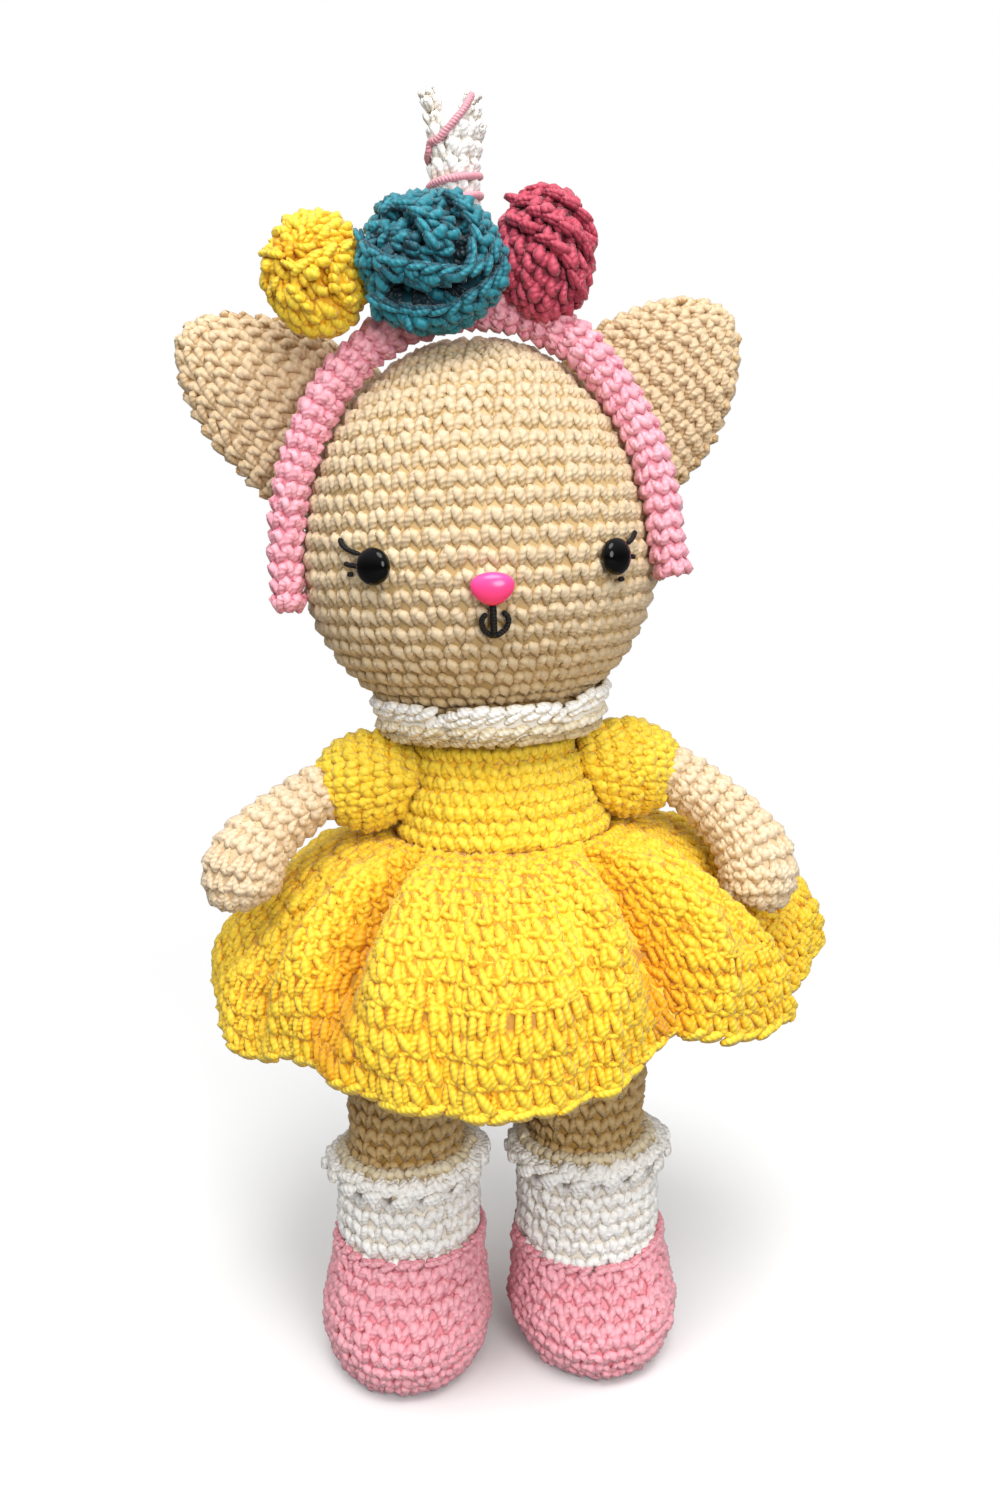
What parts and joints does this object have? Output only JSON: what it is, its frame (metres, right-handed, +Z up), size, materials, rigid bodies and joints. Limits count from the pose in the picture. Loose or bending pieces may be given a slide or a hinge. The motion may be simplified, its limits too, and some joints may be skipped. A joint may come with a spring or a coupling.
{
  "type": "crocheted cat doll",
  "caption": "Stuffed crocheted cat doll standing in a flared dress, with swinging arms, a turning head and a lift-off flowered headband.",
  "frame": {"origin": "middle of the doll's bounding box, on the floor under the shoe soles", "axes": "+Z up, the face looks along -Y, +X to the right as seen from the front"},
  "size_m": [0.1528, 0.1316, 0.2964],
  "materials": {
    "skin_yarn": "matte",
    "arm_yarn": "matte",
    "yellow_yarn": "satin",
    "pink_yarn": "satin",
    "shoe_yarn": "matte",
    "white_yarn": "matte",
    "teal_yarn": "satin",
    "raspberry_yarn": "satin",
    "black_thread": "matte",
    "pink_thread": "satin",
    "filling": "matte",
    "eye_plastic": "gloss",
    "nose_plastic": "gloss",
    "washer_plastic": "satin",
    "insole_board": "matte"
  },
  "bodies": {
    "torso": {"bodice": "yellow_yarn", "body_filling": "filling", "neck": "skin_yarn", "hips": "skin_yarn", "collar": "white_yarn", "skirt": "yellow_yarn", "left_leg": "skin_yarn", "right_leg": "skin_yarn", "left_sock": "white_yarn", "right_sock": "white_yarn", "left_sock_frill": "white_yarn", "right_sock_frill": "white_yarn", "left_shoe": "shoe_yarn", "right_shoe": "shoe_yarn", "left_insole": "insole_board", "right_insole": "insole_board"},
    "head": {"head_cover": "skin_yarn", "head_filling": "filling", "left_ear": "skin_yarn", "right_ear": "skin_yarn", "left_eye": "eye_plastic", "right_eye": "eye_plastic", "left_eye_washer": "washer_plastic", "right_eye_washer": "washer_plastic", "nose": "nose_plastic", "nose_washer": "washer_plastic", "left_lashes": "black_thread", "right_lashes": "black_thread", "mouth": "black_thread"},
    "flower_headband": {"headband": "pink_yarn", "teal_rose": "teal_yarn", "yellow_rose": "yellow_yarn", "raspberry_rose": "raspberry_yarn", "horn": "white_yarn", "horn_thread": "pink_thread"},
    "left_arm_body": {"left_sleeve": "yellow_yarn", "left_arm": "arm_yarn"},
    "right_arm_body": {"right_sleeve": "yellow_yarn", "right_arm": "arm_yarn"}
  },
  "joints": [
    {"name": "head_turn", "type": "hinge", "parent": "torso", "child": "head", "pos_m": [-0.00756, -0.00321, 0.161], "axis": [0, 0, 1], "range_deg": [-20, 20], "stiffness_Nm_per_rad": 0.02},
    {"name": "left_arm_swing", "type": "hinge", "parent": "torso", "child": "left_arm_body", "pos_m": [-0.0354, -0.00321, 0.1473], "axis": [-1, 0, 0], "range_deg": [0, 60]},
    {"name": "right_arm_swing", "type": "hinge", "parent": "torso", "child": "right_arm_body", "pos_m": [0.0254, -0.00321, 0.1473], "axis": [-1, 0, 0], "range_deg": [0, 60]},
    {"name": "headband_lift", "type": "slide", "parent": "head", "child": "flower_headband", "axis": [0, 0, 1], "range_m": [0, 0.07]}
  ]
}
